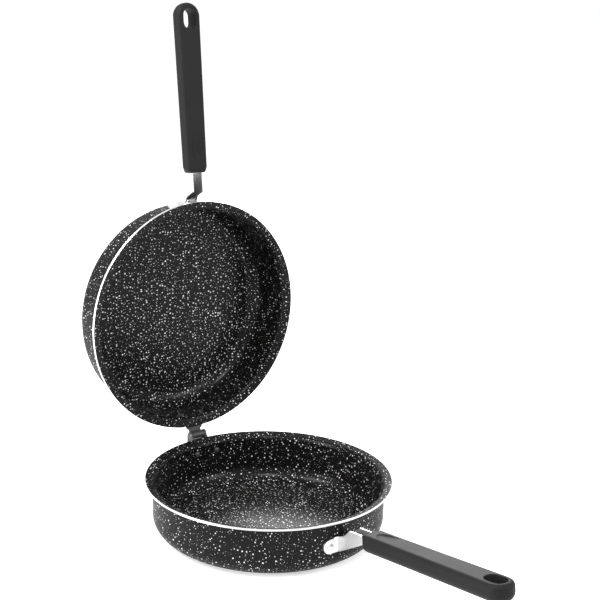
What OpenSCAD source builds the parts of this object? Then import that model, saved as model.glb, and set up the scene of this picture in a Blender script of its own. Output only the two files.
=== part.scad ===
// Double sided flip pan. Two round pans are hinged rim to rim, and each has its own
// handle, so the closed pan can be turned over to cook both sides.
// The lower pan stands on its base at z = 0 with its axis on z. Its handle points to
// +x and the hinge is on the -x side. The pan is drawn open: the upper pan leans back
// on the hinge's stop.

/* [Pans] */
// Outer radius of each pan's wall
wall_r = 116; // [105:0.5:128]
// Height of one pan from its base to its rim
pan_h = 55; // [51:0.5:61]
// Thickness of the wall and the lip
wall_t = 2.4; // [1.8:0.1:3]
// Thickness of the base
base_t = 3.4; // [2.6:0.1:4.6]
// Outer radius of the corner between base and wall
corner_r = 19; // [13:0.5:21]
// How far the lip flares out past the wall
lip_w = 8; // [6.5:0.25:9]
// Slope of the flared lip above the horizontal, in degrees
lip_slope = 20; // [14:1:28]
// Radius of the bend under the lip
lip_bend_r = 2.5; // [1.5:0.25:3]
// Number of shallow rings turned into the underside of the base
groove_n = 4; // [2:1:6]
// Width of each ring
groove_w = 2; // [1:0.25:4]
// Depth of each ring
groove_depth = 0.5; // [0.2:0.1:1]

/* [Hinge] */
// Distance from the edge of the lip to the axis of the hinge pin
hinge_reach = 9.5; // [8.5:0.25:11.5]
// Gap left between the two rims when the pan is closed
rim_gap = 0.4; // [0.3:0.1:1]
// How far the upper pan opens, in degrees
open_angle = 89.5; // [87:0.5:97]
// Radius of the hinge pin
pin_r = 2.4; // [1.8:0.1:2.8]
// Outer radius of the leaf's rolled knuckle
knuckle_r = 4.6; // [4.2:0.1:5]
// Width of the knuckle along the pin
knuckle_w = 14; // [11:0.5:16]
// Thickness of the clevis and the leaf
hinge_t = 2; // [1.6:0.1:2.2]
// Height of the hinge plates on the pan's wall
hinge_plate_h = 10.5; // [10:0.25:13]
// Depth of the top of the hinge plates below the rim
hinge_drop = 8.6; // [8.4:0.1:10]
// Height of the web that joins the two ears of the clevis
web_h = 8; // [6:0.5:10]
// Radius of the rivets' shanks
rivet_r = 1.8; // [1.4:0.1:2]
// Radius of the rivets' heads inside the pan
rivet_head_r = 3.1; // [2.8:0.1:3.5]

/* [Handle bracket] */
// Thickness of the bracket's sheet
bracket_t = 1.6; // [1.2:0.1:2]
// Outer width of the U shaped shank
shank_w = 13.8; // [12:0.2:16]
// Height of the shank where it enters the grip
shank_h = 8; // [7:0.25:9]
// Clear length of the shank between the pan's wall and the grip
shank_len = 37.5; // [33:0.5:43]
// Length of the tang inside the grip
tang_len = 34; // [28:1:44]
// Depth of the two studs below the rim
stud_drop = 27; // [26:0.25:29]
// Radius of each wing's rounded tip
wing_tip_r = 7.2; // [6.4:0.2:8]
// Height of each wing where it meets the shank
wing_root_h = 16.5; // [15:0.5:18]
// Inner radius of the bend between wing and shank
wing_bend_r = 3; // [2:0.25:4]
// Radius of the studs' heads
stud_head_r = 3; // [2.4:0.1:3.4]

/* [Grip] */
// Length of the grip
grip_len = 171; // [160:1:190]
// Width of the grip just behind its chamfered front
grip_w_front = 24; // [22:0.5:27]
// Width of the grip at its far end
grip_w_end = 26.5; // [24:0.5:32]
// Height of the grip
grip_h = 17; // [16:0.5:20]
// Depth of the lower grip's flat face below the rim, at its front
lower_grip_drop = 0.2; // [0:0.1:2]
// Angle at which the lower handle rises away from the pan
lower_grip_rise = 7.5; // [6:0.25:9]
// Depth of the upper grip's flat face behind its rim, at its front
upper_grip_drop = 2.2; // [1.5:0.1:4]
// Gap between the far ends of the two grips when the pan is closed
tip_gap = 2.2; // [1:0.2:4]
// Radius along the edges of the flat face
face_edge_r = 4.5; // [3:0.25:5]
// Radius along the edges of the rounded underside
belly_edge_r = 8; // [7:0.25:8.5]
// Length of the chamfered front of the grip
grip_nose = 5; // [3:0.5:8]
// Width of the hanging hole
hang_w = 14.5; // [10:0.5:15]
// Length of the hanging hole
hang_len = 21; // [17:0.5:23]
// Length of the thumb dish
dish_len = 30; // [22:1:34]
// Width of the thumb dish
dish_w = 16.5; // [13:0.5:18]
// Depth of the thumb dish
dish_depth = 1.9; // [1:0.1:2]
// Distance from the front of the grip to the middle of the thumb dish
dish_x = 27; // [24:1:36]
// Radius of the grip screw's thread
screw_r = 1.9; // [1.5:0.1:2.2]
// Radius of the grip screw's head
screw_head_r = 3.6; // [3:0.1:4]

/* [Hidden] */
$fn = 64;

// Play between pieces that are pushed into each other
play = 0.05;
// How far a cut runs past the faces it goes through
over = 1;

// Points along an arc of n + 1 points
function arc(c, r, a0, a1, n = 10) =
  [for (i = [0:n]) c + r * [cos(a0 + (a1 - a0) * i / n), sin(a0 + (a1 - a0) * i / n)]];

// ---- pans -------------------------------------------------------------------
inner_r = wall_r - wall_t;
inner_corner_r = corner_r - wall_t;
rim_r = wall_r + lip_w;
// The lip's sheet bends around bend_c and then runs straight out to its cut edge
lip_in_r = lip_bend_r + wall_t;
lip_top = [rim_r - wall_t * sin(lip_slope), pan_h];
lip_low = [rim_r, pan_h - wall_t * cos(lip_slope)];
bend_x = wall_r + lip_bend_r;
bend_drop = (lip_in_r + sin(lip_slope) * (lip_top[0] - bend_x)) / cos(lip_slope);
bend_c = [bend_x, pan_h - bend_drop];

pan_section = concat(
  [[0, 0]],
  arc([wall_r - corner_r, corner_r], corner_r, -90, 0),
  arc(bend_c, lip_bend_r, 180, 90 + lip_slope),
  [lip_low, lip_top],
  arc(bend_c, lip_in_r, 90 + lip_slope, 180),
  arc([inner_r - inner_corner_r, base_t + inner_corner_r], inner_corner_r, 0, -90),
  [[0, base_t]]);

// ---- hinge ------------------------------------------------------------------
pin_x = rim_r + hinge_reach;
pin_z = pan_h + rim_gap / 2;
bore_r = pin_r + play;
// Play beside the knuckle, and the inner and outer faces of the clevis ears
side_play = 0.35;
ear_in = knuckle_w / 2 + side_play;
ear_out = ear_in + hinge_t;
ear_r = knuckle_r;
// The web behind the knuckle joins the ears; its top edge stops the opening leaf
web_in = knuckle_r + 0.6;
web_out = web_in + hinge_t;
stop_gap = 0.3;
web_corner_r = 2.4;
// Rivets: as close to the ears as their heads allow
rivet_tail_r = rivet_head_r - 0.4;
rivet_head_h = 1.2;
rivet_tail_h = 1;
rivet_y = ear_out + rivet_head_r + 0.15;
rivet_turn = asin(rivet_y / (wall_r + hinge_t));
plate_mid = pan_h - hinge_drop - hinge_plate_h / 2;
plate_w = 2 * (rivet_y + rivet_head_r + 2.8);
plate_corner_r = 3.5;
// The leaf's arm: tangent to the underside of the knuckle, down to the top of its plate
leaf_w = 2 * (rivet_y - rivet_tail_r - 0.3);
leaf_neck = knuckle_r + 1.4;
arm_foot = [wall_r, pan_h - hinge_drop - 0.8];
arm_dist = norm([pin_x, pin_z] - arm_foot);
arm_slope = atan((pin_z - arm_foot[1]) / (pin_x - wall_r))
            - asin((knuckle_r - hinge_t) / arm_dist);
arm_len = (pin_x - wall_r) / cos(arm_slope) + 6;
// The web's top just misses the back of the arm when the pan is fully open
stop_turn = open_angle + arm_slope;
web_top = pin_z + (knuckle_r + stop_gap - web_in * sin(stop_turn)) / cos(stop_turn);
pin_head_r = 3.9;
pin_head_h = 1.6;
pin_tail_r = 3.3;
pin_tail_h = 1;

// ---- handle -----------------------------------------------------------------
half_w = shank_w / 2;
// The channel's lower corners are eased: the web is inset and the flanges stop above it
web_inset = 0.8;
flange_lift = 0.6;
stud_r = 2;
stud_head_h = 1.5;
stud_z = pan_h - stud_drop;
stud_y = half_w + wing_bend_r + stud_head_r + 0.6;
stud_turn = asin(stud_y / (wall_r + bracket_t));
// Centre of the bend between wing and flange, and its direction from the pan's axis
fold_r = wall_r + bracket_t + wing_bend_r;
fold_y = half_w + wing_bend_r;
fold_x = sqrt(fold_r * fold_r - fold_y * fold_y);
fold_turn = atan(fold_y / fold_x);
// Depth of the tang below the flat face of the grip
tang_top = 3.3;
tang_low = tang_top + shank_h;
// Upper edge of the flanges: where it leaves the wings, and where it reaches the tang
shoulder_low = [wall_r + 10.5, pan_h - 14.5];
shoulder_out = 18;
// The ramp meets the tang just in front of the grip
ramp_end = -0.6;
grip_x = wall_r + shank_len;

// The upper handle falls away just enough to leave tip_gap between the grips' ends
grip_span = upper_grip_drop + lower_grip_drop + rim_gap - tip_gap;
upper_grip_rise = atan(grip_span / grip_len - tan(lower_grip_rise));

// ---- grip -------------------------------------------------------------------
grip_end_r = grip_w_end / 2;
end_x = grip_len - grip_end_r;
hang_x = grip_len - 16;
nose_w = shank_w + 3;
nose_top = tang_top - 1.9;
nose_low = tang_low + 2;
screw_x = 18;
screw_seat = grip_h - 1.8;
screw_tip = 5;
screw_head_h = 1.5;
// Radii of the ring that carves the thumb dish
dish_long_r = (dish_len * dish_len / 4 + dish_depth * dish_depth) / (2 * dish_depth);
dish_wide_r = (dish_w * dish_w / 4 + dish_depth * dish_depth) / (2 * dish_depth);

// Each pan's hinge points to -x: this turns parts drawn with the hinge on +x
module hinge_side() {
  rotate([0, 0, 180]) children();
}

// A part of the upper pan is drawn like one of the lower pan and then moved here:
// turned over onto the lower pan, and swung open about the hinge pin
module in_upper() {
  translate([-pin_x, 0, pin_z])
    rotate([0, -open_angle, 0])
      mirror([0, 0, 1])
        translate([pin_x, 0, -pin_z]) children();
}

// A shallow round head that stands on z = 0
module dome(r, h) {
  ball_r = (r * r + h * h) / (2 * h);
  intersection() {
    translate([0, 0, h - ball_r]) sphere(r = ball_r);
    cylinder(r = r, h = h);
  }
}

module tube(r_out, r_in, h) {
  difference() {
    cylinder(r = r_out, h = h);
    translate([0, 0, -over]) cylinder(r = r_in, h = h + 2 * over);
  }
}

// ---- pan shell ----
module at_hinge_rivets() {
  hinge_side()
    for (side = [-1, 1])
      rotate([0, 0, side * rivet_turn])
        translate([0, 0, plate_mid])
          rotate([0, 90, 0]) children();
}

module pan_shell() {
  ring_step = (wall_r - corner_r) / (groove_n + 1);
  difference() {
    rotate_extrude($fn = 144) polygon(pan_section);
    for (i = [1:groove_n])
      translate([0, 0, -over])
        tube(i * ring_step + groove_w, i * ring_step, groove_depth + over);
    at_hinge_rivets()
      translate([0, 0, inner_r - over])
        cylinder(r = rivet_r + play, h = wall_t + 2 * over);
  }
}

// ---- hinge parts ----
// A plate of the given height and width with rounded corners, thickness along z
module rounded_plate(h, w, r, t) {
  linear_extrude(t) {
    square([h - 2 * r, w], center = true);
    square([h, w - 2 * r], center = true);
    for (i = [-1, 1], j = [-1, 1])
      translate([i * (h / 2 - r), j * (w / 2 - r)]) circle(r = r);
  }
}

// The plate that hugs the wall, drawn on the +x side
module wall_plate() {
  intersection() {
    tube(wall_r + hinge_t, wall_r, pan_h);
    translate([wall_r - 10, 0, plate_mid])
      rotate([0, 90, 0])
        rounded_plate(hinge_plate_h, plate_w, plate_corner_r, 20);
  }
}

module rivet_holes() {
  for (side = [-1, 1])
    rotate([0, 0, side * rivet_turn])
      translate([wall_r - over, 0, plate_mid])
        rotate([0, 90, 0]) cylinder(r = rivet_r + play, h = hinge_t + 3 * over);
}

// Seen from above: the two ears and the web behind the knuckle, one bent strip
module clevis_plan() {
  difference() {
    union() {
      translate([0, -ear_out]) square([pin_x + web_out - web_corner_r, 2 * ear_out]);
      translate([pin_x, web_corner_r - ear_out])
        square([web_out, 2 * (ear_out - web_corner_r)]);
      for (side = [-1, 1])
        translate([pin_x + web_out - web_corner_r, side * (ear_out - web_corner_r)])
          circle(r = web_corner_r);
    }
    translate([-over, -ear_in]) square([pin_x + web_in + over, 2 * ear_in]);
  }
}

// Seen from the side: under the lip, up around the pin and back down to the wall
module ear_side() {
  under_lip = [rim_r + 1.6, lip_low[1] - 1.2];
  polygon([[wall_r - over, plate_mid - hinge_plate_h / 2],
           [wall_r - over, plate_mid + hinge_plate_h / 2 - 0.3],
           [wall_r + hinge_t, plate_mid + hinge_plate_h / 2],
           under_lip,
           [pin_x - ear_r, pin_z],
           [pin_x, pin_z],
           [pin_x + web_out + over, web_top],
           [pin_x + web_out + over, web_top - web_h],
           [pin_x + web_in - 3, web_top - web_h]]);
  translate([pin_x, pin_z]) circle(r = ear_r);
}

module clevis() {
  difference() {
    union() {
      difference() {
        wall_plate();
        translate([0, -ear_in, 0]) cube([wall_r + 10, 2 * ear_in, pan_h]);
      }
      intersection() {
        linear_extrude(pan_h + 20) clevis_plan();
        rotate([90, 0, 0])
          linear_extrude(4 * ear_out, center = true) ear_side();
      }
    }
    cylinder(r = wall_r, h = pan_h + 10);
    rivet_holes();
    translate([pin_x, 0, pin_z])
      rotate([90, 0, 0]) cylinder(r = bore_r, h = 4 * ear_out, center = true);
  }
}

// The arm runs down from the knuckle and spreads as soon as it is clear of the ears
module leaf_arm() {
  narrow = knuckle_w / 2;
  wide = leaf_w / 2;
  linear_extrude(hinge_t)
    polygon([[0, narrow], [-leaf_neck, narrow], [-leaf_neck - 2.5, wide],
             [-arm_len, wide], [-arm_len, -wide], [-leaf_neck - 2.5, -wide],
             [-leaf_neck, -narrow], [0, -narrow]]);
}

module leaf() {
  difference() {
    union() {
      wall_plate();
      translate([pin_x, 0, pin_z]) {
        rotate([0, -arm_slope, 0]) translate([0, 0, -knuckle_r]) leaf_arm();
        rotate([90, 0, 0]) cylinder(r = knuckle_r, h = knuckle_w, center = true);
      }
    }
    cylinder(r = wall_r, h = pan_h + 10);
    rivet_holes();
    translate([pin_x, 0, pin_z])
      rotate([90, 0, 0]) cylinder(r = bore_r, h = 2 * knuckle_w, center = true);
  }
}

module hinge_rivets() {
  at_hinge_rivets() {
    translate([0, 0, inner_r - 2 * play])
      cylinder(r = rivet_r, h = wall_t + hinge_t + 3 * play);
    translate([0, 0, inner_r - play])
      mirror([0, 0, 1]) dome(rivet_head_r, rivet_head_h);
    translate([0, 0, wall_r + hinge_t]) dome(rivet_tail_r, rivet_tail_h);
  }
}

// ---- handle bracket ----
// Places a point or a part given in the grip's frame: x along the grip from its
// front, z up from its flat face
module to_grip(drop, rise) {
  translate([grip_x, 0, pan_h - drop]) rotate([0, -rise, 0]) children();
}

function in_grip(drop, rise, x, z) =
  [grip_x + x * cos(rise) - z * sin(rise), pan_h - drop + x * sin(rise) + z * cos(rise)];

// The pocket in the grip for the tang, in the grip's frame. The core between the
// flanges stays
module tang_pocket() {
  inner = half_w - bracket_t - play;
  outer = half_w + play;
  difference() {
    translate([-over, -outer, -tang_low - play])
      cube([tang_len + over + play, 2 * outer, shank_h + 2 * play]);
    translate([-2 * over, -inner, bracket_t - tang_low + play])
      cube([tang_len + 4 * over, 2 * inner, shank_h]);
  }
}

// The channel ramps up from the foot of the wings and bends into the tang at the mitre
ramp_foot = [wall_r, stud_z - wing_root_h / 2];

function mitre_at(drop, rise) = in_grip(drop, rise, ramp_end, -tang_low);

function ramp_turn(drop, rise) =
  atan2(mitre_at(drop, rise)[1] - ramp_foot[1], mitre_at(drop, rise)[0] - ramp_foot[0]);

// A point of the channel's bend, lift above its underside
function bend_at(drop, rise, lift) =
  let (turn = ramp_turn(drop, rise), middle = (turn + rise) / 2)
  mitre_at(drop, rise) + lift / cos((turn - rise) / 2) * [-sin(middle), cos(middle)];

// A point on the ramp at the given x, lift above its underside
function ramp_at(drop, rise, x, lift) =
  let (turn = ramp_turn(drop, rise))
  [x, ramp_foot[1] + (x - ramp_foot[0]) * tan(turn) + lift / cos(turn)];

// Extrudes an outline drawn in x and z, to both sides of y = 0
module along_y(half) {
  rotate([90, 0, 0]) linear_extrude(2 * half, center = true) children();
}

// Seen from the side: the flanges' stepped upper edge, the ramp and the tang
module flange_side(drop, rise) {
  top_z = stud_z + wing_root_h / 2;
  climb = (shoulder_low[1] - top_z) / (shoulder_low[0] - wall_r);
  back = 8;
  polygon([ramp_at(drop, rise, wall_r - back, flange_lift),
           [wall_r - back, top_z - 2],
           [wall_r, top_z],
           shoulder_low,
           in_grip(drop, rise, shoulder_out - shank_len, -tang_top),
           in_grip(drop, rise, tang_len, -tang_top),
           in_grip(drop, rise, tang_len, flange_lift - tang_low),
           bend_at(drop, rise, flange_lift)]);
}

// The web under the flanges, a band of sheet from the ramp's foot to the tang's end
module web_side(drop, rise) {
  polygon([ramp_at(drop, rise, fold_x, 0),
           bend_at(drop, rise, 0),
           in_grip(drop, rise, tang_len - 0.5, -tang_low),
           in_grip(drop, rise, tang_len - 0.5, bracket_t - tang_low),
           bend_at(drop, rise, bracket_t),
           ramp_at(drop, rise, fold_x, bracket_t)]);
}

// Seen from above: one flange, the bend beside the wall, and the wing along the wall
module flange_plan() {
  wing_turn = asin((stud_y + wing_tip_r + over) / wall_r);
  fold = [fold_x, fold_y];
  polygon(concat([[2 * wall_r, half_w]],
                 arc(fold, wing_bend_r, 270, 180 + fold_turn, 6),
                 arc([0, 0], wall_r + bracket_t, fold_turn, wing_turn, 6),
                 arc([0, 0], wall_r + 0.02, wing_turn, fold_turn, 8),
                 arc(fold, wing_bend_r + bracket_t, 180 + fold_turn, 270, 6),
                 [[2 * wall_r, half_w - bracket_t]]));
}

// Seen from the pan: the two wings with their round tips. Between them it is open
module wings_front() {
  root = wing_root_h / 2 - 0.5;
  high = 2 * pan_h;
  polygon(concat([[fold_y, -high], [fold_y, -root]],
                 arc([stud_y, 0], wing_tip_r, -80, 80, 16),
                 [[fold_y, root], [fold_y, high], [-fold_y, high], [-fold_y, root]],
                 arc([-stud_y, 0], wing_tip_r, 100, 260, 16),
                 [[-fold_y, -root], [-fold_y, -high]]));
}

module bracket(drop, rise) {
  difference() {
    union() {
      intersection() {
        linear_extrude(2 * pan_h)
          for (side = [0, 1])
            mirror([0, side]) flange_plan();
        along_y(shank_w + 30) flange_side(drop, rise);
        translate([wall_r / 2, 0, stud_z])
          rotate([90, 0, 90]) linear_extrude(2 * wall_r) wings_front();
      }
      along_y(half_w - web_inset) web_side(drop, rise);
    }
    to_grip(drop, rise)
      translate([screw_x, 0, -grip_h]) cylinder(r = screw_r + play, h = grip_h);
    for (side = [-1, 1])
      rotate([0, 0, side * stud_turn])
        translate([wall_r - over, 0, stud_z])
          rotate([0, 90, 0]) cylinder(r = stud_r + play, h = bracket_t + 3 * over);
  }
}

module studs() {
  for (side = [-1, 1])
    rotate([0, 0, side * stud_turn])
      translate([wall_r, 0, stud_z])
        rotate([0, 90, 0]) {
          cylinder(r = stud_r, h = bracket_t + play);
          translate([0, 0, bracket_t]) dome(stud_head_r, stud_head_h);
        }
}

// ---- grip ----
// Two short rods along x that round the upper or lower edges of the grip at x
module edge_rods(x, w, z, r) {
  for (side = [-1, 1])
    translate([x, side * (w / 2 - r), z])
      rotate([0, 90, 0]) cylinder(r = r, h = 0.1, $fn = 32);
}

// A ring that rounds the upper or lower edge of the grip's round end
module end_ring(z, r) {
  translate([end_x, 0, z])
    rotate_extrude($fn = 48)
      intersection() {
        translate([grip_end_r - r, 0]) circle(r = r, $fn = 32);
        translate([0, -r]) square([grip_end_r, 2 * r]);
      }
}

module grip_body() {
  hull() {
    edge_rods(0, nose_w, -nose_top - 2, 2);
    edge_rods(0, nose_w, -nose_low + 4, 4);
    edge_rods(grip_nose, grip_w_front, -face_edge_r, face_edge_r);
    edge_rods(grip_nose, grip_w_front, belly_edge_r - grip_h, belly_edge_r);
    end_ring(-face_edge_r, face_edge_r);
    end_ring(belly_edge_r - grip_h, belly_edge_r);
  }
}

module hanging_hole() {
  half = (hang_len - hang_w) / 2;
  translate([hang_x, 0, -grip_h - over]) {
    for (side = [-1, 1])
      translate([side * half, 0, 0]) cylinder(d = hang_w, h = grip_h + 2 * over);
    translate([-half, -hang_w / 2, 0]) cube([2 * half, hang_w, grip_h + 2 * over]);
  }
}

module thumb_dish() {
  translate([dish_x, 0, dish_long_r - dish_depth])
    rotate([90, 0, 0])
      rotate_extrude($fn = 128)
        translate([dish_long_r - dish_wide_r, 0])
          intersection() {
            circle(r = dish_wide_r, $fn = 96);
            translate([0, -dish_wide_r]) square([dish_wide_r + over, 2 * dish_wide_r]);
          }
}

module screw_space() {
  translate([screw_x, 0, -grip_h - over]) {
    cylinder(r = screw_head_r + 0.3, h = grip_h - screw_seat + over);
    cylinder(r = screw_r + play, h = grip_h - screw_tip + 0.5 + over);
  }
}

module grip(drop, rise) {
  to_grip(drop, rise)
    difference() {
      grip_body();
      tang_pocket();
      screw_space();
      thumb_dish();
      hanging_hole();
    }
}

module grip_screw(drop, rise) {
  to_grip(drop, rise)
    translate([screw_x, 0, -screw_seat]) {
      cylinder(r = screw_r, h = screw_seat - screw_tip);
      difference() {
        mirror([0, 0, 1]) cylinder(r = screw_head_r, h = screw_head_h);
        translate([0, 0, -screw_head_h - over]) cylinder(r = 1.6, h = 1.8, $fn = 6);
      }
    }
}

// ---- the nodes ----
module lower_pan() {
  color("#2c2c2e") pan_shell();
}

module lower_handle_bracket() {
  color("#d2d4d6") bracket(lower_grip_drop, lower_grip_rise);
}

module lower_bracket_studs() {
  color("#bfc1c4") studs();
}

module lower_grip() {
  color("#3a3b3d") grip(lower_grip_drop, lower_grip_rise);
}

module lower_grip_screw() {
  color("#a9abae") grip_screw(lower_grip_drop, lower_grip_rise);
}

module hinge_clevis() {
  color("#3c3c3e") hinge_side() clevis();
}

module lower_hinge_rivets() {
  color("#46474a") hinge_rivets();
}

module hinge_pin() {
  color("#b4b6b9")
    translate([-pin_x, 0, pin_z]) {
      rotate([90, 0, 0]) cylinder(r = pin_r, h = 2 * ear_out + 2 * play, center = true);
      translate([0, ear_out, 0]) rotate([-90, 0, 0]) dome(pin_head_r, pin_head_h);
      translate([0, -ear_out, 0]) rotate([90, 0, 0]) dome(pin_tail_r, pin_tail_h);
    }
}

module upper_pan() {
  color("#2c2c2e") in_upper() pan_shell();
}

module upper_handle_bracket() {
  color("#d2d4d6") in_upper() bracket(upper_grip_drop, upper_grip_rise);
}

module upper_bracket_studs() {
  color("#bfc1c4") in_upper() studs();
}

module upper_grip() {
  color("#3a3b3d") in_upper() grip(upper_grip_drop, upper_grip_rise);
}

module upper_grip_screw() {
  color("#a9abae") in_upper() grip_screw(upper_grip_drop, upper_grip_rise);
}

module hinge_leaf() {
  color("#3c3c3e") in_upper() hinge_side() leaf();
}

module upper_hinge_rivets() {
  color("#46474a") in_upper() hinge_rivets();
}

lower_pan();
lower_handle_bracket();
lower_bracket_studs();
lower_grip();
lower_grip_screw();
hinge_clevis();
lower_hinge_rivets();
hinge_pin();
upper_pan();
upper_handle_bracket();
upper_bracket_studs();
upper_grip();
upper_grip_screw();
hinge_leaf();
upper_hinge_rivets();
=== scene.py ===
# %% [markdown]
# # A double sided flip pan
#
# Two round pans are hinged rim to rim, and each has its own long handle, so the closed
# pan can be turned over to cook both sides. It stands open here: the lower pan on its
# base, the upper pan leaning back on the hinge.
#
# The CAD model gives the frame: every piece already has its true size and place. This
# lesson dresses it. The pans and the grips are worked out again as smooth surfaces with
# numpy, and the sheet metal keeps its CAD shape and only gets its finish.

import bpy
import numpy as np
from mathutils import Matrix, Vector


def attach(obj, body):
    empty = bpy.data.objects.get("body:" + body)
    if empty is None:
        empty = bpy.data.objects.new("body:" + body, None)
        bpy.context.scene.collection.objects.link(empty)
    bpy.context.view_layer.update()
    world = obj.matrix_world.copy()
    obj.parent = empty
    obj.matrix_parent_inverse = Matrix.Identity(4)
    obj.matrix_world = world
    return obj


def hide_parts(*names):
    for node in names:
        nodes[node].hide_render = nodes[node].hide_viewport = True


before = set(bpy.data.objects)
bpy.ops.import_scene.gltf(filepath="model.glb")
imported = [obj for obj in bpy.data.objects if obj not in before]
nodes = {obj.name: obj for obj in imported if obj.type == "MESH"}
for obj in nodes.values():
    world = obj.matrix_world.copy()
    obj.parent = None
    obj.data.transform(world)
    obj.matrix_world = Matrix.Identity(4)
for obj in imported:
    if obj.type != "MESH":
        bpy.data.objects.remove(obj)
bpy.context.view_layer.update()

# %% [markdown]
# ## The sizes
#
# These are the driving sizes of the pan in millimetres, the same that the CAD uses. Each
# pan is described in its own coordinates, with its base on z = 0 and its axis on z. The
# upper pan is then turned over and swung open about the hinge pin.

# %% Sizes in millimetres
MM = 0.001
wall_r, pan_h, wall_t, base_t, corner_r = 116.0, 55.0, 2.4, 3.4, 19.0
lip_w, lip_slope, lip_bend_r = 8.0, np.radians(20.0), 2.5
rim_r = wall_r + lip_w
groove_n, groove_w, groove_depth = 4, 2.0, 0.5
hinge_reach, rim_gap, open_angle = 9.5, 0.4, np.radians(89.5)
pin_x, pin_z = rim_r + hinge_reach, pan_h + rim_gap / 2
shank_len, grip_len, grip_h = 37.5, 171.0, 17.0
grip_x = wall_r + shank_len
lower_drop, lower_rise = 0.2, np.radians(7.5)
upper_drop, tip_gap = 2.2, 2.2
tip_slope = (upper_drop + lower_drop + rim_gap - tip_gap) / grip_len
upper_rise = np.arctan(tip_slope - np.tan(lower_rise))


def turned_over(points):
    """Upper pan's own coordinates to the frame: z is mirrored at the rim, then the pan
    turns about the pin by the opening angle."""
    x, y, z = points[..., 0] + pin_x, points[..., 1], pin_z - points[..., 2]
    c, s = np.cos(open_angle), np.sin(open_angle)
    return np.stack([c * x - s * z - pin_x, y, s * x + c * z + pin_z], axis=-1)


print("rim radius", rim_r, "mm, upper handle falls by %.2f degrees" % -np.degrees(upper_rise))

# %% [markdown]
# ## From numbers to a mesh
#
# A surface is a grid of points. Joining each point to its neighbours gives four-sided
# faces, and where the grid closes on itself, as around a pan, the last column joins the
# first. The enclosed volume tells which way the faces look: if it comes out negative,
# every face is turned round.

# %% Grids, meshes and pieces
def grid_faces(rows, cols, rows_close=False):
    """Corner numbers of the faces of a grid whose columns close on themselves."""
    strips = rows if rows_close else rows - 1
    i, j = np.meshgrid(np.arange(strips), np.arange(cols), indexing="ij")
    down, right = (i + 1) % rows, (j + 1) % cols
    corners = [i * cols + j, down * cols + j, down * cols + right, i * cols + right]
    return np.stack(corners, -1).reshape(-1, 4)


def enclosed(points, faces):
    """The volume between the faces and the origin, from signed tetrahedra. Added up over
    a closed surface it is the volume inside, negative where the faces look inwards."""
    corners = [points[faces[:, k]] for k in range(faces.shape[1])]
    six = sum(np.einsum("ij,ij->i", corners[0], np.cross(b, c)).sum()
              for b, c in zip(corners[1:], corners[2:]))
    return six / 6


def piece(name, points, quads, fans, body, nodes, sharp=35.0):
    """Makes an object from points in millimetres, four-sided faces and triangles. Edges
    sharper than the angle sharp stay sharp."""
    volume = enclosed(points, quads) + enclosed(points, fans)
    if volume < 0:
        quads, fans = quads[:, ::-1], fans[:, ::-1]
    mesh = bpy.data.meshes.new(name)
    mesh.from_pydata((points * MM).tolist(), [], quads.tolist() + fans.tolist())
    mesh.polygons.foreach_set("use_smooth", np.ones(len(mesh.polygons), bool))
    mesh.set_sharp_from_angle(angle=np.radians(sharp))
    obj = bpy.data.objects.new(name, mesh)
    bpy.context.scene.collection.objects.link(obj)
    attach(obj, body)
    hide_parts(*nodes)
    print(name, len(mesh.polygons), "faces, volume %.0f cm3" % (abs(volume) / 1000))
    return obj


def mark(obj, name, values):
    """Stores a number or a vector for each vertex, for the material to read."""
    kind, field = ("FLOAT", "value") if values.ndim == 1 else ("FLOAT_VECTOR", "vector")
    layer = obj.data.attributes.new(name, kind, "POINT")
    layer.data.foreach_set(field, values.astype(np.float32).ravel())


NO_FANS = np.zeros((0, 3), int)

# %% [markdown]
# ## The pan shells
#
# A pan of this kind is pressed from an aluminium disc: a flat floor, a generous corner,
# an upright wall and a lip that flares outwards. Its section is a chain of straight lines
# and arcs, and turning it about the pan's axis gives the whole shell, so a lathe surface
# is the natural choice. The section runs from the middle of the underside, over the four
# turned rings, up the outside, round the cut edge of the lip and down the inside.

# %% The pan's section
edge_ease = 0.45


def arc(centre, radius, start, end, n):
    """Points centre + radius (cos a, sin a) for n + 1 angles from start to end, in degrees."""
    a = np.radians(np.linspace(start, end, n + 1))
    return np.asarray(centre) + radius * np.stack([np.cos(a), np.sin(a)], -1)


def line(start, end, n):
    """n points from start towards end, without the end itself."""
    t = np.arange(n)[:, None] / n
    return (1 - t) * np.asarray(start) + t * np.asarray(end)


def turned_ring(start):
    """A ring cut into the base, with steep sides, and a point of the flat on each side."""
    end, flat_by, foot, side = start + groove_w, 4.0, 0.02, 0.25
    return np.array([(start - flat_by, 0), (start - foot, 0), (start + side, groove_depth),
                     (end - side, groove_depth), (end + foot, 0), (end + flat_by, 0)])


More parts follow.
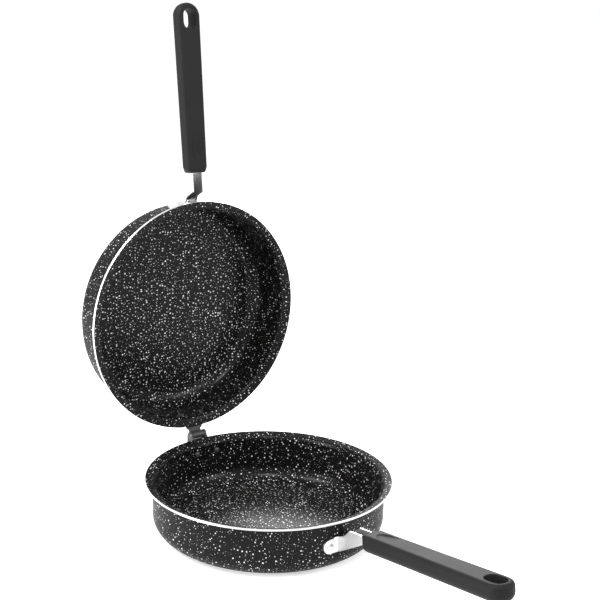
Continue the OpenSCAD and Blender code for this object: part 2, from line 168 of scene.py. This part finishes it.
def pan_section():
    """The closed half section as (radius, height) points, and 1 on the bare cut edge.
    The straight lines end a little way from the arcs beside them."""
    step = (wall_r - corner_r) / (groove_n + 1)
    underside = [line((0, 0), (8, 0), 4)]
    underside += [turned_ring(i * step) for i in range(1, groove_n + 1)]

    # The lip: out runs along it, up runs through the sheet, and the two sides of its
    # bend share a centre
    slope = np.degrees(lip_slope)
    out = np.array([np.cos(lip_slope), np.sin(lip_slope)])
    up = np.array([-np.sin(lip_slope), np.cos(lip_slope)])
    low = np.array([rim_r, pan_h - wall_t * np.cos(lip_slope)])
    top = low + wall_t * up
    lip_in = lip_bend_r + wall_t
    bend_x = wall_r + lip_bend_r
    drop = (lip_in + np.sin(lip_slope) * (top[0] - bend_x)) / np.cos(lip_slope)
    bend = np.array([bend_x, pan_h - drop])
    outside = [arc((wall_r - corner_r, corner_r), corner_r, -90, 0, 20),
               line((wall_r, corner_r + 2), bend + (-lip_bend_r, -0.1), 8),
               arc(bend, lip_bend_r, 180, 90 + slope, 8),
               line(bend + lip_bend_r * up + (0.5, 0.27), low, 5)]
    edge = [arc(low - edge_ease * (out - up), edge_ease, slope - 90, slope, 5),
            arc(top - edge_ease * (out + up), edge_ease, slope, slope + 90, 5)]

    inner_r, inner_corner = wall_r - wall_t, corner_r - wall_t
    floor_r = inner_r - inner_corner
    inside = [line(top - 0.8 * out, bend + lip_in * up, 6),
              arc(bend, lip_in, 90 + slope, 180, 12),
              line((inner_r, bend[1] - 1), (inner_r, base_t + inner_corner + 0.5), 8),
              arc((floor_r, base_t + inner_corner), inner_corner, 0, -90, 20),
              line((floor_r - 2, base_t), (0, base_t), 24), np.array([(0, base_t)])]

    # The two eased arcs have six points each, and the four at the middle are bare
    bare = [np.zeros(sum(map(len, underside + outside))), [0] * 4 + [1] * 4 + [0] * 4,
            np.zeros(sum(map(len, inside)))]
    return np.concatenate(underside + outside + edge + inside), np.concatenate(bare)


section, section_bare = pan_section()
print("the section has", len(section), "points")

# %% [markdown]
# The coating will be drawn in drops that lie in the surface. For that each shell is also
# laid flat, like the peel of an orange: a point s along the section from the nearer pole
# and at angle a goes to (s cos a, s sin a). The inside gets a sheet of its own, beside
# the outside's.

# %% Turning the section into the two shells
AROUND = 256
SHEET_APART = 400.0
angles = 2 * np.pi * np.arange(AROUND) / AROUND


def lathe(profile):
    """Point (r, z) of the profile goes to (r cos a, r sin a, z) at each angle a. The two
    ends of the profile lie on the axis and become single points."""
    r, z = profile[1:-1, 0][:, None], profile[1:-1, 1][:, None]
    rings = np.stack([r * np.cos(angles), r * np.sin(angles), z + 0 * angles], -1)
    poles = np.array([[0, 0, profile[0, 1]], [0, 0, profile[-1, 1]]])
    points = np.concatenate([rings.reshape(-1, 3), poles])
    rows, last = len(r), (len(r) - 1) * AROUND
    j, k = np.arange(AROUND), (np.arange(AROUND) + 1) % AROUND
    under = np.stack([0 * j + rows * AROUND, j, k], -1)
    floor = np.stack([0 * j + rows * AROUND + 1, last + k, last + j], -1)
    return points, grid_faces(rows, AROUND), np.concatenate([under, floor])


def laid_flat(profile, bare):
    """The lathe's points on the flat sheets, the inside's from the bare edge on."""
    travel = np.concatenate([[0], np.cumsum(np.hypot(*np.diff(profile, axis=0).T))])
    s = np.minimum(travel, travel[-1] - travel)[1:-1, None]
    aside = SHEET_APART * (travel > travel[np.argmax(bare)])[1:-1, None]
    sheets = np.stack([s * np.cos(angles) + aside, s * np.sin(angles), 0 * s * angles], -1)
    return np.concatenate([sheets.reshape(-1, 3), [[0, 0, 0], [SHEET_APART, 0, 0]]])


shell, shell_quads, shell_fans = lathe(section)
shell_bare = np.concatenate([np.repeat(section_bare[1:-1], AROUND), [0, 0]])
shell_flat = laid_flat(section, section_bare)
lower_shell = piece("lower_pan_shell", shell, shell_quads, shell_fans, "lower",
                    ["lower_pan"])
upper_shell = piece("upper_pan_shell", turned_over(shell), shell_quads, shell_fans, "upper",
                    ["upper_pan"])
for shell_piece in (lower_shell, upper_shell):
    mark(shell_piece, "own", shell * MM)
    mark(shell_piece, "bare", shell_bare)
    mark(shell_piece, "laid_flat", shell_flat * MM)

# %% [markdown]
# ## The grips
#
# Each grip is one moulding: flat where it meets the other grip, rounded underneath, with
# a chamfered front, a shallow dish for the thumb and a long hole to hang it from. A
# solid with one hole through it is a ring, so one closed grid covers it all: one
# direction runs around the hole, the other runs from the hole's edge over the flat face,
# down the side, back underneath and up through the hole.

# %% The grip's outline and its hanging hole, seen from above
front_w, end_w, front_corner = 24.0, 26.5, 1.0
hang_x, hang_w, hang_len = grip_len - 16, 14.5, 21.0

# The columns that end before fan_x share fan_angle degrees of the hole's near end
fan_x, fan_angle = 130, 15


def both_sides(half):
    """A half curve on y >= 0 and its mirror image, joined into one closed loop."""
    other = half[1:-1][::-1] * (1, -1, 1, -1)
    return np.concatenate([half, other])


def grip_outline():
    """Front edge, small corner, long side and round end, each point with its outward
    direction: rows of (x, y, nx, ny)."""
    end_r = end_w / 2
    end_x, corner_y = grip_len - end_r, front_w / 2 - front_corner
    y = np.linspace(0, corner_y, 30, endpoint=False)
    front = np.stack([0 * y, y, 0 * y - 1, 0 * y], -1)
    a = np.radians(np.linspace(180, 92, 8))
    corner = np.stack([front_corner + front_corner * np.cos(a),
                       corner_y + front_corner * np.sin(a), np.cos(a), np.sin(a)], -1)
    x = np.linspace(front_corner + 0.2, end_x, 104, endpoint=False)
    width = front_w / 2 + (end_w - front_w) / 2 * x / end_x
    side = np.stack([x, width, 0 * x, 0 * x + 1], -1)
    a = np.radians(np.linspace(90, 0, 34))
    end = np.stack([end_x + end_r * np.cos(a), end_r * np.sin(a), np.cos(a), np.sin(a)], -1)
    return both_sides(np.concatenate([front, corner, side, end]))


def hole_outline(outline):
    """The point of the hole's edge that goes with each outline point, and its direction
    into the hole's wall. Beside the hole the two face each other squarely, and the long
    front of the grip shares the hole's near end."""
    half = len(outline) // 2 + 1
    x, nx, ny = outline[:half, 0], outline[:half, 2], outline[:half, 3]
    k = np.arange(half)
    r, m = hang_w / 2, (hang_len - hang_w) / 2
    first, begin = hang_x - m, np.argmax(x > fan_x)
    fanned = 180 - fan_angle * k / begin
    facing = 180 - fan_angle - (90 - fan_angle) * (x - x[begin]) / (first - x[begin])
    a = np.radians(np.select([k < begin, x < first, nx <= 0], [fanned, facing, 90 + 0 * x],
                             np.degrees(np.arctan2(ny, nx))))
    centre = np.where(nx > 0, hang_x + m, np.clip(x, first, hang_x + m))
    columns = [centre + r * np.cos(a), r * np.sin(a), np.cos(a), np.sin(a)]
    return both_sides(np.stack(columns, -1))


outline = grip_outline()
hole = hole_outline(outline)
print("the grip's grid has", len(outline), "columns")

# %% The closed surface of a grip
face_r, belly_r, hole_ease = 4.5, 8.0, 0.9
nose_face_r, nose_belly_r = 0.7, 0.9
nose_len, nose_w, nose_drop, nose_thinner = 5.0, 16.8, 1.4, 5.1
dish_x, dish_long, dish_wide, dish_depth, dish_fade = 27.0, 15.0, 6.9, 1.7, 8
parting_proud = 0.12

# The columns that end at the front pass through points behind_front mm behind it, at the
# share most of their way
behind_front, most = 6, 0.96

# Steps of the way over the grip: an eased edge of the hole, the face, an edge of the face,
# an edge of the belly, and the underside. The face's steps get shorter towards the front
ease_steps, face_steps, edge_steps, belly_steps, under_steps = 5, 107, 8, 12, 25
face_crowding = 1.7


def smooth(t):
    """0 below 0, 1 above 1, and 3t^2 - 2t^3 between."""
    t = np.clip(t, 0, 1)
    return t * t * (3 - 2 * t)


def grip_surface():
    """Each row of the grid is one loop of the way over the grip. Edges are quarter
    circles: at angle a the surface lies r (1 - cos a) inside the outline and r (1 - sin a)
    from the face. The belly's circle stops 0.1 mm before the hanging hole's eased edge."""
    x = outline[:, 0]
    top_r = nose_face_r + (face_r - nose_face_r) * smooth(x / nose_len)
    low_r = nose_belly_r + (belly_r - nose_belly_r) * smooth(x / nose_len)
    room = np.linalg.norm(hole[:, :2] - outline[:, :2], axis=1) - hole_ease - 0.1
    reach = np.minimum(room, low_r)
    last = np.arccos(1 - reach / low_r)
    low_z = low_r * (1 - np.sin(last)) - grip_h

    # From -1 to 1 across the front, and beyond that on the sides
    half = len(outline) // 2 + 1
    rank = np.arange(half) / np.argmax(x[:half] > behind_front)
    rank = np.concatenate([rank, -rank[1:-1][::-1]])
    at_front = (np.abs(rank) < 1)[:, None]
    rows = []

    def loop(points, z):
        rows.append(np.concatenate([points, (z + 0 * x)[:, None]], -1))

    def out_at(inset, z):
        loop(outline[:, :2] - outline[:, 2:] * (inset + 0 * x)[:, None], z)

    def hole_at(inset, z):
        loop(hole[:, :2] + hole[:, 2:] * inset, z)

    def between(z, shares, inset, full):
        """Straight from the hole to the outline, but by a point behind the front for the
        columns that end there, so that all stay on the flat between the edges."""
        near = hole[:, :2] + hole[:, 2:] * hole_ease
        far = outline[:, :2] - outline[:, 2:] * inset[:, None]
        behind = np.stack([behind_front + 0 * x, (front_w / 2 - full) * rank], -1)
        by = np.where(at_front, behind, near + (far - near) * most)
        for s in shares:
            first, rest = min(s / most, 1), max((s - most) / (1 - most), 0)
            loop(near + (by - near) * first + (far - by) * rest, z)

    for a in np.radians(np.linspace(0, 90, ease_steps + 1)[:-1]):
        hole_at(hole_ease * (1 - np.cos(a)), -hole_ease * (1 - np.sin(a)))
    shares = 1 - (1 - np.linspace(0, 1, face_steps + 1)) ** face_crowding
    between(0.0, shares, top_r, face_r)
    for a in np.radians(np.linspace(90, 0, edge_steps + 1)[1:]):
        out_at(top_r * (1 - np.cos(a)), -top_r * (1 - np.sin(a)))
    for above in (0.7, 0.3, 0.15, -0.15, -0.3):
        proud = parting_proud if abs(above) < 0.2 else 0
        out_at(-proud, above - grip_h / 2)
    for t in np.linspace(0, 1, belly_steps + 1):
        out_at(low_r * (1 - np.cos(last * t)), low_r * (1 - np.sin(last * t)) - grip_h)
    between(low_z, 1 - np.linspace(0, 1, under_steps + 1)[1:], reach, belly_r)
    for a in np.radians(np.linspace(90, 0, ease_steps + 1)[1:]):
        hole_at(hole_ease * (1 - np.cos(a)), low_z + hole_ease * (1 - np.sin(a)))
    return np.stack(rows)


def dish_and_nose(points):
    """The dish is a spoon's hollow, depth sqrt(1 - u^2 - v^2), that fades out towards the
    grip's end. Towards the front the section shrinks evenly, which cuts the chamfer, and
    a parabola from 1 - w to 1 + w nose lengths rounds the chamfer's upper end."""
    x, y, z = points[..., 0], points[..., 1], points[..., 2]
    oval = 1 - ((x - dish_x) / dish_long) ** 2 - (y / dish_wide) ** 2
    fade = 1 - smooth((x - dish_x + dish_fade) / (dish_long + dish_fade))
    hollow = dish_depth * np.sqrt(np.maximum(oval, 0)) * fade
    on_face = z > -0.01
    z = z - np.where(on_face, hollow, 0)
    u, w = x / nose_len, 0.2
    t = np.where(u < 1 - w, u, np.where(u < 1 + w, 1 - (1 + w - u) ** 2 / (4 * w), 1.0))
    y = y * (nose_w / front_w + (1 - nose_w / front_w) * t)
    z = -nose_drop * (1 - t) + z * (1 - (1 - t) * nose_thinner / grip_h)
    return np.stack([x, y, z], -1)


def on_handle(points, drop, rise):
    """From the grip's own frame to its pan: x runs along the grip, z up from its face."""
    x, y, z = points[..., 0], points[..., 1], points[..., 2]
    c, s = np.cos(rise), np.sin(rise)
    return np.stack([grip_x + x * c - z * s, y, pan_h - drop + x * s + z * c], -1)


grip_grid = dish_and_nose(grip_surface())
own_grip = grip_grid.reshape(-1, 3)
grip_quads = grid_faces(len(grip_grid), len(outline), rows_close=True)
lower_grip = piece("lower_grip_moulding", on_handle(own_grip, lower_drop, lower_rise),
                   grip_quads, NO_FANS, "lower", ["lower_grip"], sharp=40)
upper_grip = piece("upper_grip_moulding",
                   turned_over(on_handle(own_grip, upper_drop, upper_rise)),
                   grip_quads, NO_FANS, "upper", ["upper_grip"], sharp=40)
for grip_piece in (lower_grip, upper_grip):
    mark(grip_piece, "own", own_grip * MM)

# %% [markdown]
# ## Writing materials as sums
#
# A material is a small calculation that runs at every point of a surface. To write it
# like one, the class below wraps the output of a shader node, so that + - * / on it add
# the Math node of that name. Any other node comes from one method, which takes the
# node's kind, its settings and its inputs.

# %% The material maker
class Value:
    """A number that varies over the surface."""

    def __init__(self, finish, socket):
        self.finish, self.socket = finish, socket

    def _do(self, operation, *terms):
        return self.finish.node("Math", {"operation": operation}, dict(enumerate(terms)))[0]

    def __add__(self, other): return self._do("ADD", self, other)
    def __radd__(self, other): return self._do("ADD", other, self)
    def __sub__(self, other): return self._do("SUBTRACT", self, other)
    def __rsub__(self, other): return self._do("SUBTRACT", other, self)
    def __mul__(self, other): return self._do("MULTIPLY", self, other)
    def __rmul__(self, other): return self._do("MULTIPLY", other, self)
    def __truediv__(self, other): return self._do("DIVIDE", self, other)
    def __pow__(self, other): return self._do("POWER", self, other)

    def between(self, low, high):
        """0 below low, 1 above high and a smooth step between; low may be the larger."""
        return self.finish.node("MapRange", {"interpolation_type": "SMOOTHSTEP"},
                                {"Value": self, "From Min": low, "From Max": high})[0]


class Finish:
    """A material and its Principled shader."""

    def __init__(self, name, **constants):
        self.material = bpy.data.materials.new(name)
        self.material.use_nodes = True
        self.tree = self.material.node_tree
        self.shader = self.tree.nodes["Principled BSDF"]
        self.set(**constants)

    def node(self, kind, settings, inputs):
        """Adds a node; settings come first, then the inputs by name or number. Returns
        its outputs in order."""
        made = self.tree.nodes.new("ShaderNode" + kind)
        for key, value in settings.items():
            setattr(made, key, value)
        for key, value in inputs.items():
            self.feed(made.inputs[key], value)
        return [Value(self, out) for out in made.outputs]

    def feed(self, socket, value):
        if isinstance(value, Value):
            self.tree.links.new(value.socket, socket)
        else:
            socket.default_value = value

    def attribute(self, name):
        """The vector and the number that the vertices store under this name."""
        return self.node("Attribute", {"attribute_name": name}, {})[1:3]

    def own(self):
        """The place on the piece in its own coordinates, stored on its vertices."""
        return self.attribute("own")[0]

    def place(self):
        """The place in the frame, in metres."""
        return self.node("TexCoord", {}, {})[3]

    def noise(self, place, scale, detail=2.0):
        return self.node("TexNoise", {}, {"Vector": place, "Scale": scale, "Detail": detail})[0]

    def stretched(self, place, x, y, z):
        """The place with each axis scaled, which draws a pattern out along the others."""
        return self.node("Mapping", {}, {"Vector": place, "Scale": (x, y, z)})[0]

    def mix(self, share, first, second):
        """A colour between two, where inputs 0, 6 and 7 are the share and the colours."""
        return self.node("Mix", {"data_type": "RGBA"}, {0: share, 6: first, 7: second})[2]

    def bump(self, height, distance, strength=1.0):
        self.set(Normal=self.node("Bump", {}, {"Strength": strength, "Distance": distance,
                                               "Height": height})[0])

    def set(self, **sockets):
        for socket, value in sockets.items():
            self.feed(self.shader.inputs[socket.replace("_", " ")], value)


def put_on(finish, *objects):
    for obj in objects:
        obj.data.materials.clear()
        obj.data.materials.append(finish.material)
    print(finish.material.name, "on", len(objects), "pieces")


def grey(level, warm=0.0):
    return (level * (1 + warm), level, level * (1 - warm), 1.0)


# %% [markdown]
# ## The coating
#
# Granite-look coatings are sprayed in layers: a black base, then a fine mist of pale
# drops, and last a thin clear coat. Each layer of drops is a Voronoi pattern: every cell
# holds one dot at its centre, its random colour decides whether the dot is there, how
# large it is and how bright. More of them are drawn on the flat floor and base than on
# the upright wall, which makes these lighter. The bare aluminium shows only on the cut
# edge of the lip, which is marked on the mesh.

# %% Speckled coating with a bare edge
# Each layer's cell and its smallest and largest radius, in metres
DUST = (0.0017, 0.00012, 0.00032)
SPOTS = (0.0033, 0.00026, 0.00088)
FLAT_BELOW, WALL_ABOVE = 0.004, 0.014
CLEAR_COAT = 0.14


def drops(finish, place, share, cell, smallest, largest):
    """Dots of radius smallest to largest in a share of the cells of that size. Returns
    how much of a dot covers the point, and the dot's own brightness."""
    distance, colour = finish.node("TexVoronoi", {"feature": "F1", "voronoi_dimensions": "2D"},
                                   {"Vector": place, "Scale": 1 / cell, "Randomness": 1.0})[:2]
    chance, size, bright = finish.node("SeparateColor", {}, {0: colour})[:3]
    radius = (smallest + (largest - smallest) * size ** 2.5) / cell
    there = chance.between(share + 0.004, share - 0.004)
    return there * (distance / radius).between(1.15, 0.75), bright


def coating(name):
    finish = Finish(name, Specular_IOR_Level=0.05, Coat_Roughness=0.22)
    place, sheet = finish.own(), finish.attribute("laid_flat")[0]
    height = finish.node("SeparateXYZ", {}, {0: place})[2]
    # More drops below FLAT_BELOW than above WALL_ABOVE, so the floor and base come out lighter
    # than the wall
    flat = height.between(WALL_ABOVE, FLAT_BELOW)
    dust, dust_bright = drops(finish, sheet, 0.26 + 0.08 * flat, *DUST)
    spots, spot_bright = drops(finish, sheet, 0.44 + 0.34 * flat, *SPOTS)
    pale = (dust * (0.10 + 0.40 * dust_bright)) + (spots * (0.50 + 0.50 * spot_bright))
    cloud = finish.noise(place, 35.0, 3.0)
    black = finish.mix(cloud, grey(0.001), grey(0.005))
    speckled = finish.mix(pale.between(0.0, 1.0), black, grey(0.88))
    coated_rough = 0.46 + 0.10 * cloud - 0.08 * pale
    bare = finish.attribute("bare")[1].between(0.5, 0.9)
    turned = finish.noise(finish.stretched(place, 900, 900, 5200), 1.0)
    bare_rough = 0.24 + 0.12 * turned
    finish.set(Base_Color=finish.mix(bare, speckled, grey(0.80)), Metallic=bare,
               Roughness=coated_rough * (1 - bare) + bare * bare_rough,
               Coat_Weight=CLEAR_COAT * (1 - bare))
    orange_peel = finish.noise(place, 900.0, 1.0)
    finish.bump(0.25 * orange_peel + pale, 0.00006, 0.6)
    return finish


pan_coating = coating("speckled_coating")
put_on(pan_coating, lower_shell, upper_shell)

# %% [markdown]
# ## The moulded grips
#
# The grips are a dark, heat-proof plastic with the fine, dull grain of a spark-eroded
# mould. Hands polish it a little where they hold it, so the roughness varies slowly, and
# a finer noise gives the grain.

# %% Satin plastic
grip_plastic = Finish("satin_plastic", Specular_IOR_Level=0.12)
grip_place = grip_plastic.own()
held = grip_plastic.noise(grip_place, 28.0, 2.0)
grain = grip_plastic.noise(grip_place, 2600.0, 2.0)
grip_plastic.set(Base_Color=grip_plastic.mix(held, grey(0.007, -0.01), grey(0.011, -0.01)),
                 Roughness=0.50 + 0.08 * held + 0.05 * grain)
grip_plastic.bump(grain, 0.00008, 0.5)
put_on(grip_plastic, lower_grip, upper_grip)

# %% [markdown]
# ## The sheet metal
#
# The brackets are pressed from stainless sheet and tumbled, which leaves a pale satin
# with faint scratches. The hinge is steel under a dark satin finish that is rubbed a
# little brighter in small spots. These pieces keep their CAD shape.

# %% Satin steel and dark hinge steel
def satin_steel(name, tone, rough):
    """Bare steel of a brightness and a least roughness, with fine drawn-out scratches."""
    finish = Finish(name, Metallic=1.0)
    place = finish.place()
    blotch = finish.noise(place, 120.0, 3.0)
    fine = finish.noise(finish.stretched(place, 2400, 500, 2400), 1.0, 3.0)
    finish.set(Base_Color=finish.mix(blotch, grey(tone * 0.94), grey(tone, 0.004)),
               Roughness=rough + 0.12 * blotch + 0.10 * fine)
    finish.bump(fine + 0.4 * blotch, 0.00003, 0.5)
    return finish


def dark_steel(name, tone):
    """Steel under a dark finish, half worn off in small rubbed spots."""
    finish = Finish(name, Specular_IOR_Level=0.45)
    place = finish.place()
    blotch = finish.noise(place, 160.0, 4.0)
    fine = finish.noise(place, 1800.0, 2.0)
    rubbed = (blotch * 0.7 + fine * 0.3).between(0.60, 0.72)
    finish.set(Base_Color=finish.mix(rubbed * 0.5, grey(tone), grey(0.16)),
               Metallic=rubbed * 0.6, Roughness=0.38 + 0.12 * fine - 0.06 * rubbed)
    finish.bump(fine, 0.00004, 0.5)
    return finish


put_on(satin_steel("satin_steel", 0.66, 0.28),
       nodes["lower_handle_bracket"], nodes["upper_handle_bracket"])
put_on(satin_steel("stud_steel", 0.60, 0.24),
       nodes["lower_bracket_studs"], nodes["upper_bracket_studs"],
       nodes["lower_grip_screw"], nodes["upper_grip_screw"])
put_on(satin_steel("darkened_pin_steel", 0.09, 0.30), nodes["hinge_pin"])
put_on(dark_steel("dark_hinge_steel", 0.018), nodes["hinge_clevis"], nodes["hinge_leaf"])
put_on(dark_steel("coated_rivets", 0.035),
       nodes["lower_hinge_rivets"], nodes["upper_hinge_rivets"])

# %% [markdown]
# ## The studio
#
# The pan stands on a plain white floor in soft light. The floor shows as white to the
# camera by adding a little light of its own to what falls on it, so it still holds the
# pan's shadow. Only the camera and mirror-like reflections see that light, so it adds
# none to the pan's own shading. The surroundings work the same way: white where they are
# seen, and a little darker where they light the pan.

# %% Floor and surroundings
FLOOR_HALF = 30.0
FLOOR_GLOW, FILL = 0.5, 0.75

floor_mesh = bpy.data.meshes.new("floor")
floor_corners = [(x * FLOOR_HALF, y * FLOOR_HALF, 0)
                 for x, y in ((-1, -1), (1, -1), (1, 1), (-1, 1))]
floor_mesh.from_pydata(floor_corners, [], [(0, 1, 2, 3)])
floor = bpy.data.objects.new("floor", floor_mesh)
bpy.context.scene.collection.objects.link(floor)
floor_finish = Finish("white_floor", Roughness=0.9, Specular_IOR_Level=0.0,
                      Base_Color=grey(0.80), Emission_Strength=FLOOR_GLOW)
light_path = floor_finish.node("LightPath", {}, {})
camera_ray, glossy_ray = light_path[0], light_path[3]
shown = (camera_ray + glossy_ray).between(0.0, 1.0)
floor_finish.set(Emission_Color=floor_finish.mix(shown, grey(0.0), grey(1.0)))
put_on(floor_finish, floor)

world = bpy.data.worlds.new("studio")
bpy.context.scene.world = world
world.use_nodes = True
world_nodes, world_links = world.node_tree.nodes, world.node_tree.links
backdrop, fill = world_nodes["Background"], world_nodes.new("ShaderNodeBackground")
backdrop.inputs["Color"].default_value = grey(1.0)
fill.inputs["Color"].default_value = grey(1.0)
fill.inputs["Strength"].default_value = FILL
path = world_nodes.new("ShaderNodeLightPath")
seen = path.outputs["Is Camera Ray"]
for kind in ("Is Glossy Ray", "Is Transmission Ray"):
    larger = world_nodes.new("ShaderNodeMath")
    larger.operation = "MAXIMUM"
    world_links.new(seen, larger.inputs[0])
    world_links.new(path.outputs[kind], larger.inputs[1])
    seen = larger.outputs[0]
chosen = world_nodes.new("ShaderNodeMixShader")
world_links.new(seen, chosen.inputs[0])
world_links.new(fill.outputs[0], chosen.inputs[1])
world_links.new(backdrop.outputs[0], chosen.inputs[2])
world_links.new(chosen.outputs[0], world_nodes["World Output"].inputs[0])

# %% [markdown]
# Five square lamps light it: a high one and a low one on the camera's left, one behind
# the pan that glances off the coating, a small one above the camera, and one on the right.
# The camera's place, its lens and the directions of its picture's sides were fitted to
# the pans' rims, the handles, the holes and the rivets of the photograph.

# %% Lamps and camera
def softbox(name, place, target, size, power):
    """A square lamp that looks at target, in metres and watts."""
    lamp = bpy.data.lights.new(name, "AREA")
    lamp.shape, lamp.size, lamp.energy = "SQUARE", size, power
    obj = bpy.data.objects.new(name, lamp)
    obj.location = place
    obj.rotation_euler = (Vector(target) - Vector(place)).to_track_quat("-Z", "Y").to_euler()
    bpy.context.scene.collection.objects.link(obj)
    print(name, power, "W")


softbox("key_softbox", (-0.4, -1.3, 1.7), (-0.05, 0, 0.15), 0.8, 38)
softbox("back_softbox", (-1.45, 1.42, 0.98), (0.02, 0.02, 0.0), 0.9, 36)
softbox("left_softbox", (-0.25, -1.7, 0.4), (-0.05, 0, 0.12), 0.6, 17)
softbox("top_softbox", (0.6, -0.46, 1.63), (-0.03, 0, 0.05), 0.35, 14)
softbox("side_softbox", (1.7, 0.9, 1.2), (0, 0, 0.15), 0.7, 20)

lens = bpy.data.cameras.new("camera")
lens.lens, lens.sensor_width = 69.669278, 36.0
camera = bpy.data.objects.new("camera", lens)
eye = Vector((0.87215105, -0.64486875, 0.5161899))
across = Vector((0.60758947, 0.79374922, 0.02823514))
down = Vector((0.21460894, -0.12984156, -0.96803108))
ahead = Vector((-0.76470782, 0.594225, -0.24923604))
turn = Matrix((across, -down, -ahead)).transposed()
camera.matrix_world = Matrix.Translation(eye) @ turn.to_4x4()
bpy.context.scene.collection.objects.link(camera)
bpy.context.scene.camera = camera
bpy.context.scene.view_settings.view_transform = "Standard"
